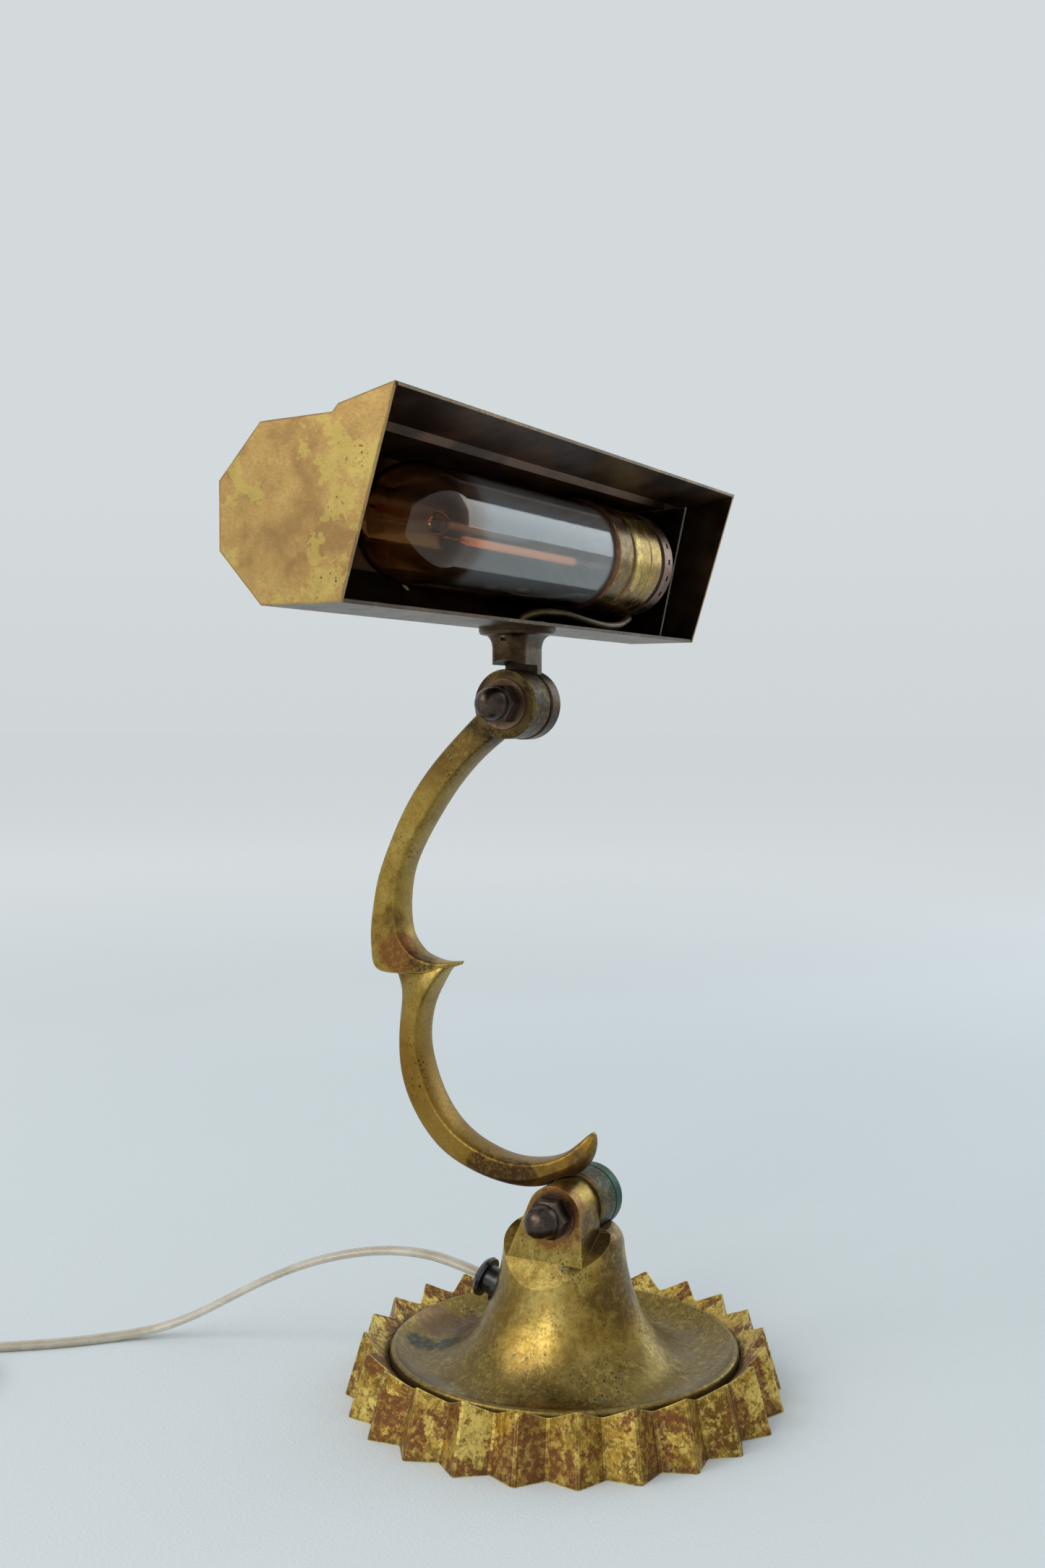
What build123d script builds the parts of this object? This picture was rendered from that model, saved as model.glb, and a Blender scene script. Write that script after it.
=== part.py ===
from build123d import *
import math
import os

# Desk lamp with a trough shade on an articulated cast arm and a pleated round base.
# Millimetres. Origin: centre of the base's underside. +Z up, the shade's long axis and
# both pivots run along X, the shade opens towards -Y, and the arm bows out towards +Y.

# Base
PLEATS, PLEAT_BLUNT = 24, 0.5             # folds and half the flat along each
RIDGE_FOOT_R, RIDGE_TOP_R, RIDGE_TOP_Z = 79.0, 72.4, 22.4
VALLEY_FOOT_R, VALLEY_TOP_R, VALLEY_TOP_Z = 73.0, 67.3, 18.3
SEAT_R, SEAT_Z = 63.6, 13.0            # pocket in the ring that takes the bell's skirt
SEAT_BORE_R, RING_CAVITY_R, RING_WEB_Z = 57.0, 65.5, 9.5
PLATE_R, PLATE_Z, PLATE_T = 67.7, 3.0, 1.5
BELL_R, BELL_RIM_Z, BELL_WALL = 62.9, 18.5, 3.0
FLARE_R, FLARE_Z = 48.5, 12.5          # where the flare runs out into the dish
NECK_R, NECK_Z, NECK_TOP_Z = 21.3, 64.0, 61.5
HOLLOW_TOP_Z = 44.0
FACET_X, CREASE_Z = -15.8, 51.7        # near face of the ear and the crease below it
GROMMET_AT, GROMMET_TILT = (0.0, 28.2, 35.3), 19.5

# Pivots, as (y, z) of axes along X
LOWER_PIVOT, UPPER_PIVOT = (-3.8, 68.8), (21.0, 248.8)
BOLT_R, RUNNING_GAP = 4.0, 0.06
EAR_R, EAR_HALF_WIDTH, EAR_FAR_X = 10.3, 15.0, -0.6
LOWER_KNUCKLE_R, LOWER_KNUCKLE_X = 11.8, (0.0, 11.3)
UPPER_KNUCKLE_R, UPPER_KNUCKLE_X = 12.6, (-6.5, 5.7)
FAR_EAR_R, FAR_EAR_X = 12.9, (6.3, 13.2)
CAP_R, CAP_T = 11.8, 5.8
NUT_FLATS, NUT_HEX, NUT_DOME_R, NUT_LENGTH = 13.0, 6.4, 5.9, 14.6

# Arm: each station gives the inner edge, the outer edge, the depth of the rounded back
# behind the flat side, and half the width across X.
UPPER_CLAW = [
    ((20.5, 240.5), (29.5, 250.0), 2.4, 6.2),
    ((28.5, 234.0), (37.5, 242.6), 2.4, 6.5),
    ((36.4, 227.6), (46.0, 234.6), 2.4, 6.5),
    ((45.1, 218.5), (55.0, 225.0), 2.4, 6.5),
    ((54.0, 206.5), (65.0, 211.0), 2.4, 6.5),
    ((61.4, 194.5), (72.5, 196.0), 2.4, 6.5),
    ((65.5, 184.4), (77.4, 183.0), 2.4, 6.5),
    ((66.5, 178.2), (79.0, 175.6), 2.4, 6.5),
    ((66.8, 172.0), (80.1, 168.4), 2.4, 6.5),
    ((66.4, 166.8), (80.6, 161.8), 2.3, 6.5),
    ((65.0, 161.8), (80.2, 155.4), 2.2, 6.5),
    ((61.0, 156.9), (77.5, 148.9), 1.6, 6.5),
    ((58.0, 155.2), (68.0, 147.5), 1.5, 6.4),
    ((53.5, 154.0), (58.0, 147.8), 1.4, 5.8),
    ((49.4, 153.4), (51.4, 149.2), 1.0, 4.6),
    ((45.6, 153.5), (46.9, 150.8), 0.7, 2.9),
    ((42.3, 153.8), (43.0, 152.2), 0.4, 1.4),
]
LOWER_CLAW = [
    ((46.6, 151.0), (75.8, 150.8), 21.5, 4.4),
    ((50.4, 146.6), (73.0, 146.8), 16.0, 5.8),
    ((53.4, 141.8), (70.2, 142.2), 10.0, 6.4),
    ((55.9, 136.6), (68.6, 136.6), 5.6, 6.5),
    ((57.4, 131.0), (68.3, 130.0), 3.6, 6.5),
    ((58.0, 123.0), (68.4, 120.5), 3.0, 6.5),
    ((56.5, 114.8), (67.3, 110.8), 2.8, 6.5),
    ((53.0, 105.5), (63.8, 100.6), 2.8, 6.5),
    ((48.0, 97.5), (57.8, 91.0), 2.9, 6.5),
    ((41.0, 91.0), (49.0, 82.4), 3.0, 6.5),
    ((32.0, 86.4), (36.5, 76.4), 3.0, 6.5),
    ((22.0, 83.8), (24.0, 73.4), 3.4, 6.5),
    ((12.0, 83.9), (10.8, 73.2), 4.2, 6.5),
    ((4.0, 85.7), (0.5, 76.4), 4.6, 6.5),
    ((-2.5, 88.9), (-7.5, 81.0), 4.0, 5.6),
    ((-8.0, 93.4), (-12.2, 88.3), 2.2, 3.8),
    ((-11.7, 96.0), (-12.5, 95.2), 0.3, 0.8),
]
ARM_LEAD = [
    (24, 246), (33, 238.5), (41, 231), (50, 221.5), (59.5, 208.5), (67, 195), (71.5, 183),
    (73.2, 170), (72.2, 158), (67, 149), (63.4, 139), (63, 127), (61.8, 113), (58, 102.5),
    (52, 93.5), (44, 86.5), (33, 81.2), (22, 78.8), (11, 79.2),
]

# Shade, as (y, z) points of the outside of the folded sheet, from the top lip to the bottom
SHADE_PROFILE = [
    (-13.3, 338.3), (6.2, 333.6), (8.2, 331.4), (33.9, 330.8),
    (49.3, 314.4), (49.3, 293.4), (34.0, 276.6), (5.6, 276.6),
]
SHADE_HALF_LENGTH, SHEET, END_SHEET = 132.2, 1.2, 1.2
SOCKET_PLATE_X = 104.5
PEEP_HOLE_AT, PEEP_HOLE_R = (-36.0, 45.0, 288.6), 1.7

# Bracket under the shade
FLANGE_R, FLANGE_T, POST_CENTRE = 14.0, 2.6, (3.2, 21.0)
POST_SIZE, POST_CORNER, POST_RELIEF_R = (19.4, 13.4), 4.2, 15.8

# Thin conduit for the shade's lead, from the bracket to the lampholder
CONDUIT_R, CONDUIT_BORE_R = 1.5, 0.95
CONDUIT_ROUTE = [
    (10.5, 24.5, 272.4), (10.5, 24.5, 280.6), (19, 20.5, 283.4), (33, 16.8, 283.6),
    (46, 13.8, 281.2), (60, 12.6, 280), (74, 13, 281), (88, 15.5, 284.6),
]

# Lampholder and bulb on an axis along X
LAMP_AXIS = (21.5, 307.3)
SHELL_R, RIM_X, BEAD_X, SHELL_END_X = 20.9, (45.5, 49.0), 62.5, 87.0
RING_X, RING_R, RING_SLOTS = (90.0, 98.5), 21.4, 20
GLASS_R, GLASS_T, GLASS_TIP_X, GLASS_NECK_X = 20.3, 0.8, -86.0, 68.0
NECK_GLASS_R, CAP_THREAD_R, CAP_X = 12.55, 13.2, (68.0, 93.0)

# Cord and plug
CORD_R = 2.6
CORD_ROUTE = [
    (0, 33.2, 37.1), (-1.2, 45, 40.6), (-3.2, 59, 42.8), (-6, 74, 42.2), (-9, 90, 39),
    (-12, 106, 33.6), (-15, 122, 26), (-18.4, 137, 17.4), (-22.6, 151, 9.6),
    (-28.5, 164.5, 4.2), (-38.5, 176.5, 2.7), (-52, 188.5, 2.7), (-66, 205, 2.7),
    (-79.5, 225, 2.7), (-93, 241.5, 2.7),
]
COIL_CENTRE, COIL_MEAN_R, COIL_PITCH, COIL_HEIGHT = (-121.5, 220.5), 29.5, 5.5, 9.6
TAIL_ROUTE = [
    (-121.5, 255.3, 2.7), (-134, 255.6, 2.9), (-148, 256.4, 4.4), (-160, 257, 6), (-170, 257, 6.6),
]
PLUG_SIZE, PLUG_BLADE = (30.0, 22.0, 13.0), (16.0, 1.5, 6.3)

MIN_Z = (Align.CENTER, Align.CENTER, Align.MIN)
NODES = {}


def bend_radii(points):
    """Largest tangent arc at each corner of a route: 0.45 of the shorter run over tan(half turn)."""
    radii = []
    for before, here, after in zip(points, points[1:], points[2:]):
        run_in, run_out = Vector(here) - Vector(before), Vector(after) - Vector(here)
        half_turn = math.radians(run_in.get_angle(run_out) / 2)
        radii.append(0.45 * min(run_in.length, run_out.length) / math.tan(half_turn))
    return radii


def tube(points, radius, bore=0.0):
    """Round rod or tube along straight runs joined by tangent arcs."""
    path = FilletPolyline(*points, radius=bend_radii(points))
    start = Plane(origin=path @ 0, z_dir=path % 0)
    solid = sweep(start * Circle(radius), path=path)
    if bore:
        solid = solid - sweep(start * Circle(bore), path=path)
    return solid


def rod_x(radius, x_from, x_to, centre):
    """Cylinder along X, with centre given as (y, z)."""
    face = Plane(origin=(x_from, *centre), x_dir=(0, 1, 0), z_dir=(1, 0, 0)) * Circle(radius)
    return extrude(face, amount=x_to - x_from)


def ring_x(outer, inner, x_from, x_to, centre):
    return rod_x(outer, x_from, x_to, centre) - rod_x(inner, x_from - 1, x_to + 1, centre)


def turned_x(profile, centre):
    """Solid turned about an axis along X from (x, radius) points."""
    face = make_face(Polyline(*[(x, 0, radius) for x, radius in profile], close=True))
    return Pos(0, *centre) * revolve(face, Axis.X)


def turned_z(profile):
    """Solid turned about Z from (radius, z) points."""
    return revolve(make_face(Polyline(*[(r, 0, z) for r, z in profile], close=True)), Axis.Z)


def prism_x(points, x_from, x_to):
    """Extrusion along X of an outline given as (y, z) points."""
    face = make_face(Polyline(*[(x_from, y, z) for y, z in points], close=True))
    return extrude(face, amount=x_to - x_from, dir=(1, 0, 0))


def prism_y(points, y_from, y_to):
    """Extrusion along Y of an outline given as (x, z) points."""
    face = make_face(Polyline(*[(x, y_from, z) for x, z in points], close=True))
    return extrude(face, amount=y_to - y_from, dir=(0, 1, 0))


# ---------------------------------------------------------------- base

def star(ridge_r, valley_r, z):
    """Outline of the pleats at one height, ridges and valleys in turn."""
    points = []
    for k in range(2 * PLEATS):
        r = valley_r if k % 2 else ridge_r
        for side in (-1, 1):
            angle = math.pi * k / PLEATS + side * PLEAT_BLUNT / r
            points.append((r * math.cos(angle), r * math.sin(angle), z))
    return make_face(Polyline(*points, close=True))


def base_ring():
    blank_z = RIDGE_TOP_Z + 2
    ridge = RIDGE_FOOT_R + (RIDGE_TOP_R - RIDGE_FOOT_R) * blank_z / RIDGE_TOP_Z
    valley = VALLEY_FOOT_R + (VALLEY_TOP_R - VALLEY_FOOT_R) * blank_z / VALLEY_TOP_Z
    blank = loft([star(RIDGE_FOOT_R, VALLEY_FOOT_R, 0), star(ridge, valley, blank_z)], ruled=True)
    slope = (RIDGE_TOP_Z - VALLEY_TOP_Z) / (RIDGE_TOP_R - VALLEY_TOP_R)
    wide_r = RIDGE_TOP_R + 4
    funnel = [
        (0, blank_z + 4), (wide_r, blank_z + 4), (wide_r, RIDGE_TOP_Z + 4 * slope),
        (SEAT_R, RIDGE_TOP_Z - (RIDGE_TOP_R - SEAT_R) * slope), (SEAT_R, SEAT_Z), (0, SEAT_Z),
    ]
    pocket = turned_z([
        (0, -1), (PLATE_R + 0.3, -1), (PLATE_R + 0.3, PLATE_Z + PLATE_T),
        (RING_CAVITY_R, PLATE_Z + PLATE_T), (RING_CAVITY_R, RING_WEB_Z),
        (SEAT_BORE_R, RING_WEB_Z), (SEAT_BORE_R, SEAT_Z + 1), (0, SEAT_Z + 1),
    ])
    lugs = [Pos(*p) * Cylinder(4.0, RING_WEB_Z - PLATE_Z - PLATE_T, align=MIN_Z)
            for p in screw_places()]
    ring = blank - turned_z(funnel) - pocket + lugs
    return ring - [Pos(x, y, z) * Cylinder(1.25, 4, align=MIN_Z) for x, y, z in screw_places()]


def screw_places():
    """Three screws that hold the bottom plate to lugs inside the ring."""
    turns = [math.radians(30 + 120 * k) for k in range(3)]
    return [(62.5 * math.cos(t), 62.5 * math.sin(t), PLATE_Z + PLATE_T) for t in turns]


def ear_outline():
    """Arched head on the pivot, widening in straight sides to the crease."""
    y, z = LOWER_PIVOT
    sides = []
    for side in (1, -1):
        corner = (side * EAR_HALF_WIDTH - y, CREASE_Z - z)
        reach = math.hypot(*corner)
        turn = math.atan2(corner[1], corner[0]) + side * math.acos(EAR_R / reach)
        sides.append((y + EAR_R * math.cos(turn), z + EAR_R * math.sin(turn)))
    foot_z = CREASE_Z - 1.2
    return [
        (EAR_HALF_WIDTH, foot_z), (EAR_HALF_WIDTH, CREASE_Z), sides[0], (y, z), sides[1],
        (-EAR_HALF_WIDTH, CREASE_Z), (-EAR_HALF_WIDTH, foot_z),
    ]


def base_bell():
    span_r, span_z = FLARE_R - NECK_R, NECK_Z - FLARE_Z
    outer_cut = math.degrees(math.asin((NECK_Z - 54) / span_z))
    inner_span_z = span_z + BELL_WALL
    inner_cut = math.degrees(math.asin((NECK_Z - HOLLOW_TOP_Z) / inner_span_z))
    centre = (FLARE_R, 0, NECK_Z)
    side = Plane(origin=centre, x_dir=(1, 0, 0), z_dir=(0, -1, 0))
    flare = side * EllipticalCenterArc(
        (0, 0), span_r, span_z, start_angle=180 + outer_cut, arc_size=90 - outer_cut)
    inside = side * EllipticalCenterArc(
        (0, 0), span_r + 3.2, inner_span_z, start_angle=180 + inner_cut, arc_size=90 - inner_cut)
    rim = Vector(BELL_R - 1.6, 0, BELL_RIM_Z)
    foot = Vector(BELL_R, 0, SEAT_Z)
    dish = ThreePointArc(flare @ 1, (57, 0, 15.0), rim)
    roll = ThreePointArc(rim, (BELL_R - 0.45, 0, BELL_RIM_Z - 0.45), (BELL_R, 0, BELL_RIM_Z - 1.6))
    under = Polyline(foot + Vector(0, 0, BELL_RIM_Z - 1.6 - SEAT_Z), foot, foot - Vector(2.8, 0, 0),
                     (BELL_R - 3.2, 0, SEAT_Z + 1.8), inside @ 1)
    shoulder = ThreePointArc((17, 0, NECK_TOP_Z), (20.4, 0, 58.8), flare @ 0)
    top = Polyline(inside @ 0, (0, 0, HOLLOW_TOP_Z), (0, 0, NECK_TOP_Z), (17, 0, NECK_TOP_Z))
    bell = revolve(make_face([flare, dish, roll, under, inside, top, shoulder]), Axis.Z)

    ear = prism_x(ear_outline(), FACET_X, EAR_FAR_X) + rod_x(EAR_R, FACET_X, EAR_FAR_X, LOWER_PIVOT)
    ramp = [(-45, CREASE_Z), (FACET_X, CREASE_Z), (EAR_FAR_X, NECK_TOP_Z - 1), (EAR_FAR_X, 95),
            (-45, 95)]
    facet = [(FACET_X, 95), (FACET_X, CREASE_Z), (FACET_X - 8.7, CREASE_Z - 8.7),
             (-45, CREASE_Z - 8.7), (-45, 95)]
    bell = bell - prism_y(ramp, -40, 40) + ear - prism_y(facet, -40, 40)
    bell -= rod_x(BOLT_R + 0.05, -30, 30, LOWER_PIVOT)
    bell -= rod_x(LOWER_KNUCKLE_R + 0.5, EAR_FAR_X, 40, LOWER_PIVOT)
    bell -= Pos(8, LOWER_PIVOT[0], HOLLOW_TOP_Z - 1) * Cylinder(2.5, 20, align=MIN_Z)
    bell -= Pos(0, 0, HOLLOW_TOP_Z - 1) * Cylinder(3.0, 11, align=MIN_Z)
    return bell - grommet_frame() * Cylinder(5.2, 30)


def grommet_frame():
    """Frame on the grommet's axis: its z leaves the bell towards +Y and a little up."""
    tilt = math.radians(GROMMET_TILT)
    return Plane(origin=GROMMET_AT, x_dir=(1, 0, 0), z_dir=(0, math.cos(tilt), math.sin(tilt)))


def acorn_nut(face_x, centre):
    """Domed cap nut bored blind, its hex seated on face_x and its dome towards -X."""
    hexagon = Plane(origin=(face_x, *centre), x_dir=(0, 1, 0), z_dir=(-1, 0, 0))
    across = NUT_FLATS / math.sqrt(3)
    nut = extrude(hexagon * RegularPolygon(across, 6), amount=NUT_HEX)
    chamfer_cone = turned_x([
        (face_x, 0), (face_x, across + 1), (face_x - NUT_HEX + 1.1, across + 0.2),
        (face_x - NUT_HEX, across - 1.4), (face_x - NUT_HEX, 0)], centre)
    dome_x = face_x - NUT_LENGTH + NUT_DOME_R
    dome = Pos(dome_x, *centre) * Sphere(NUT_DOME_R)
    neck = rod_x(NUT_DOME_R, dome_x, face_x - NUT_HEX + 0.5, centre)
    return (nut & chamfer_cone) + dome + neck - rod_x(BOLT_R + 0.02, face_x - 10, face_x + 1, centre)


def pivot_bolt(tip_x, shoulder_x, head_r, head_t, centre):
    """Bolt along X with a broad round head on the far side and a slightly domed face."""
    head = turned_x([
        (shoulder_x, 0), (shoulder_x, head_r - 0.4), (shoulder_x + 0.4, head_r),
        (shoulder_x + head_t - 1.3, head_r), (shoulder_x + head_t - 0.5, head_r - 0.9),
        (shoulder_x + head_t, head_r * 0.45), (shoulder_x + head_t, 0)], centre)
    return head + rod_x(BOLT_R, tip_x, shoulder_x + 1, centre)


def base_parts():
    pivot = LOWER_PIVOT
    NODES["base_ring"] = base_ring()
    NODES["base_bell"] = base_bell()
    plate = Pos(0, 0, PLATE_Z) * Cylinder(PLATE_R, PLATE_T, align=MIN_Z)
    plate -= Pos(0, 0, PLATE_Z - 1) * Cylinder(3.1, 4, align=MIN_Z)
    ballast = turned_z([(3.2, 4.6), (43, 4.6), (43.8, 5.4), (43.8, 9.2), (30, 9.2), (24, 12.5),
                        (3.2, 12.5)])
    felt = Cylinder(PLATE_R - 0.4, PLATE_Z - 0.1, align=MIN_Z)
    felt -= Pos(0, 0, 0.5) * Cylinder(8, 9, align=MIN_Z)
    screws = []
    for x, y, z in screw_places():
        at = Pos(x, y, 0)
        plate -= at * Pos(0, 0, PLATE_Z - 1) * Cylinder(1.7, 5, align=MIN_Z)
        felt -= at * Cylinder(3.4, 9, align=MIN_Z)
        head = Pos(0, 0, PLATE_Z - 1.6) * Cylinder(2.9, 1.5, align=MIN_Z)
        shank = Pos(0, 0, PLATE_Z - 0.2) * Cylinder(1.24, 5, align=MIN_Z)
        slot = Pos(0, 0, PLATE_Z - 1.6) * Box(6, 0.8, 1.2)
        screws.append(at * (head + shank - slot))
    NODES["bottom_plate"] = plate
    NODES["felt_pad"] = felt
    NODES["ballast_disc"] = ballast
    NODES["plate_screws"] = Compound(children=screws)
    NODES["tie_rod"] = Pos(0, 0, 0.6) * Cylinder(2.98, 53, align=MIN_Z)
    rod_nut = Pos(0, 0, PLATE_Z - 2.4) * extrude(RegularPolygon(5.8, 6), amount=2.3)
    NODES["tie_rod_nut"] = rod_nut - Cylinder(3.0, 9, align=MIN_Z)

    frame = grommet_frame()
    profile = [(3.4, -4.6), (6.2, -4.6), (7.0, -3.6), (7.0, -1.2), (5.15, -1.2), (5.15, 3.2),
               (7.3, 3.6), (7.6, 4.8), (6.6, 6.1), (5.0, 6.5), (3.4, 6.0)]
    ring = revolve(make_face(Polyline(*[(r, 0, z) for r, z in profile], close=True)), Axis.Z)
    collar = frame * ring - NODES["base_bell"]
    NODES["cord_grommet"] = max(collar.solids(), key=lambda solid: solid.volume)
    axis = frame.z_dir
    clamp_at = frame.origin - axis * 10.4
    clamp = Plane(origin=clamp_at, x_dir=(1, 0, 0), z_dir=axis) * extrude(
        RectangleRounded(9, 7.6, 1.5), amount=3.4)
    NODES["cord_clamp"] = clamp - frame * Cylinder(CORD_R, 40)
    outlet = frame.origin + axis * 4.7
    NODES["base_lead"] = tube(
        [tuple(outlet), tuple(frame.origin - axis * 15), (5, 8, 31), (8, 2, 33), (8, -3.8, 39.5),
         (8, -3.8, 52)], 2.2)

    NODES["lower_pivot_bolt"] = pivot_bolt(FACET_X - 9, LOWER_KNUCKLE_X[1] + 0.3, CAP_R, CAP_T, pivot)
    NODES["lower_nut_washer"] = ring_x(8.4, BOLT_R + 0.05, FACET_X - 1.0, FACET_X, pivot)
    NODES["lower_acorn_nut"] = acorn_nut(FACET_X - 1.0, pivot)
    NODES["lower_friction_washer"] = ring_x(9.4, BOLT_R + 0.05, EAR_FAR_X, -0.06, pivot)


def cord_parts():
    print("cord bend radii", [round(r, 1) for r in bend_radii(CORD_ROUTE)])
    print("tail bend radii", [round(r, 1) for r in bend_radii(TAIL_ROUTE)])
    lead = tube(CORD_ROUTE, CORD_R)
    length = FilletPolyline(*CORD_ROUTE, radius=bend_radii(CORD_ROUTE)).length
    print("cord lead", round(length), "mm, volume", round(lead.volume),
          "against section times length", round(length * math.pi * CORD_R ** 2))
    NODES["cord_lead"] = lead
    half_width = COIL_PITCH + CORD_R
    coil = Cylinder(COIL_MEAN_R + half_width, COIL_HEIGHT, align=MIN_Z)
    coil -= Cylinder(COIL_MEAN_R - half_width, COIL_HEIGHT, align=MIN_Z)
    tail = tube(TAIL_ROUTE, CORD_R)
    NODES["cord_coil"] = Pos(*COIL_CENTRE, 0.1) * fillet(coil.edges(), 2.4) - lead - tail
    NODES["cord_tail"] = tail
    end = Vector(TAIL_ROUTE[-1])
    length, width, height = PLUG_SIZE
    body = Pos(end.X - length / 2 + 2, end.Y, height / 2 + 0.1) * Box(length, width, height)
    body = fillet(body.edges(), 3.0)
    blade_length, blade_t, blade_w = PLUG_BLADE
    blade_x = end.X - length + 2 - blade_length / 2 + 3
    blades = [Pos(blade_x, end.Y + side * 6.35, height / 2 + 0.1)
              * Box(blade_length + 6, blade_t, blade_w) for side in (1, -1)]
    NODES["plug_body"] = body - blades - tail
    NODES["plug_blades"] = Compound(children=[
        fillet(blade.edges().filter_by(Axis.Y), 0.7) for blade in blades])


# ---------------------------------------------------------------- arm

def claw_section(inner, outer, back, half):
    """Closed outline across the arm: flat sides, rounded inner edge and rounded back."""
    inner, outer = Vector(0, *inner), Vector(0, *outer)
    out = (outer - inner).normalized()
    width = (outer - inner).length
    edge = outer - out * back
    full = 0.94 - 0.5 * min(1, max(0, (back - 3.4) / 6))   # a deep back is fluted, not round
    turn_in = inner + out * min(2.2, 0.45 * (width - back))
    across = Vector(half, 0, 0)
    inset = (turn_in - inner).length
    nose = [turn_in - across, turn_in - across - out * inset * 0.7,
            inner - across * 0.62 - out * inset * 0.05, inner + across * 0.62 - out * inset * 0.05,
            turn_in + across - out * inset * 0.7, turn_in + across]
    lift = out * min(back, 3.4)
    spine = [edge + across, edge + across * full + out * back * 0.6,
             outer + across * 0.42 + lift * 0.2, outer - across * 0.42 + lift * 0.2,
             edge - across * full + out * back * 0.6, edge - across]
    return Wire([
        Line(edge - across, turn_in - across), Bezier(*nose),
        Line(turn_in + across, edge + across), Bezier(*spine),
    ])


def claw(stations):
    return Solid.make_loft([claw_section(*station) for station in stations])


def arm_parts():
    upper, lower = claw(UPPER_CLAW), claw(LOWER_CLAW)
    knuckle = rod_x(UPPER_KNUCKLE_R, *UPPER_KNUCKLE_X, UPPER_PIVOT)
    knuckle = fillet(knuckle.edges().filter_by(GeomType.CIRCLE), 0.7)
    foot = rod_x(LOWER_KNUCKLE_R, *LOWER_KNUCKLE_X, LOWER_PIVOT)
    foot = fillet(foot.edges().filter_by(GeomType.CIRCLE), 0.7)
    casting = upper + lower + knuckle + foot
    casting -= rod_x(EAR_R + 0.7, -20, LOWER_KNUCKLE_X[0], LOWER_PIVOT)
    casting -= rod_x(CAP_R + 0.5, LOWER_KNUCKLE_X[1], 40, LOWER_PIVOT)
    casting -= rod_x(FAR_EAR_R + 0.6, UPPER_KNUCKLE_X[1], 40, UPPER_PIVOT)
    for centre in (LOWER_PIVOT, UPPER_PIVOT):
        casting -= rod_x(BOLT_R + RUNNING_GAP, -30, 30, centre)
    lead_route = [(0, y, z) for y, z in ARM_LEAD]
    casting -= tube(lead_route, 1.9)
    NODES["arm_casting"] = casting
    NODES["arm_lead"] = tube(lead_route, 1.6)

    near_x = UPPER_KNUCKLE_X[0]
    NODES["upper_pivot_bolt"] = pivot_bolt(near_x - 10, FAR_EAR_X[1] + 0.1, 7.0, 2.6, UPPER_PIVOT)
    NODES["upper_nut_washer"] = ring_x(9.0, BOLT_R + 0.05, near_x - 1.2, near_x, UPPER_PIVOT)
    NODES["upper_acorn_nut"] = acorn_nut(near_x - 1.2, UPPER_PIVOT)
    NODES["upper_friction_washer"] = ring_x(9.6, BOLT_R + 0.05, UPPER_KNUCKLE_X[1],
                                            FAR_EAR_X[0] - 0.06, UPPER_PIVOT)


# ---------------------------------------------------------------- head

def inset(points, amount):
    """Moves an open outline sideways by amount, towards the inside of the trough."""
    moved = []
    for k, (y, z) in enumerate(points):
        normals = []
        for a, b in zip(points[max(k - 1, 0):k + 1], points[max(k - 1, 0) + 1:k + 2]):
            run = (b[0] - a[0], b[1] - a[1])
            size = math.hypot(*run)
            normals.append((run[1] / size, -run[0] / size))
        ny = sum(n[0] for n in normals) / len(normals)
        nz = sum(n[1] for n in normals) / len(normals)
        scale = amount / (ny * ny + nz * nz)
        moved.append((y + ny * scale, z + nz * scale))
    return moved


def shade_shell():
    outline = SHADE_PROFILE + inset(SHADE_PROFILE, SHEET)[::-1]
    reach = SHADE_HALF_LENGTH - END_SHEET
    shell = prism_x(outline, -reach, reach)
    hole = Plane(origin=PEEP_HOLE_AT, z_dir=(0, 1, -1)) * Cylinder(PEEP_HOLE_R, 12)
    holes = [Pos(*place, 270) * Cylinder(1.6, 20, align=MIN_Z) for place in bracket_screw_places()]
    holes.append(Pos(*CONDUIT_ROUTE[0]) * Cylinder(CONDUIT_R + 0.3, 10, align=MIN_Z))
    return shell - hole - holes


def bracket_screw_places():
    x, y = POST_CENTRE
    return [(x - 10, y), (x + 10.4, y - 3)]


def shade_bracket():
    x, y = POST_CENTRE
    floor_z = SHADE_PROFILE[-1][1]
    flange_z = floor_z - FLANGE_T
    post = extrude(Pos(x, y, UPPER_PIVOT[1]) * RectangleRounded(*POST_SIZE, POST_CORNER),
                   amount=flange_z - 5.2 - UPPER_PIVOT[1])
    post += loft([Pos(x, y, flange_z - drop) * RectangleRounded(
        POST_SIZE[0] + grow, POST_SIZE[1] + grow, POST_CORNER + grow / 3)
        for drop, grow in ((5.2, 0), (3.0, 0.6), (1.2, 2.2), (0, 5.4))])
    flange = Pos(x, y) * turned_z([
        (0, floor_z - 0.02), (FLANGE_R, floor_z - 0.02), (FLANGE_R, floor_z - 1.5),
        (FLANGE_R - 0.5, flange_z + 0.2), (FLANGE_R - 1.2, flange_z), (0, flange_z)])
    ear = rod_x(FAR_EAR_R, *FAR_EAR_X, UPPER_PIVOT)
    ear = fillet(ear.edges().filter_by(GeomType.CIRCLE), 0.7)
    body = post + flange
    body -= rod_x(POST_RELIEF_R, -20, FAR_EAR_X[0], UPPER_PIVOT)
    body += ear
    body -= rod_x(BOLT_R + RUNNING_GAP, -30, 40, UPPER_PIVOT)
    x, y, z = CONDUIT_ROUTE[0]
    body -= Pos(x, y, z - 4.4) * Cylinder(CONDUIT_R + 0.05, 20, align=MIN_Z)
    for place in bracket_screw_places():
        body -= Pos(*place, 271.5) * Cylinder(1.25, 9, align=MIN_Z)
    return body


def end_plate(x_from):
    return prism_x(SHADE_PROFILE, x_from, x_from + END_SHEET)


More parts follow.
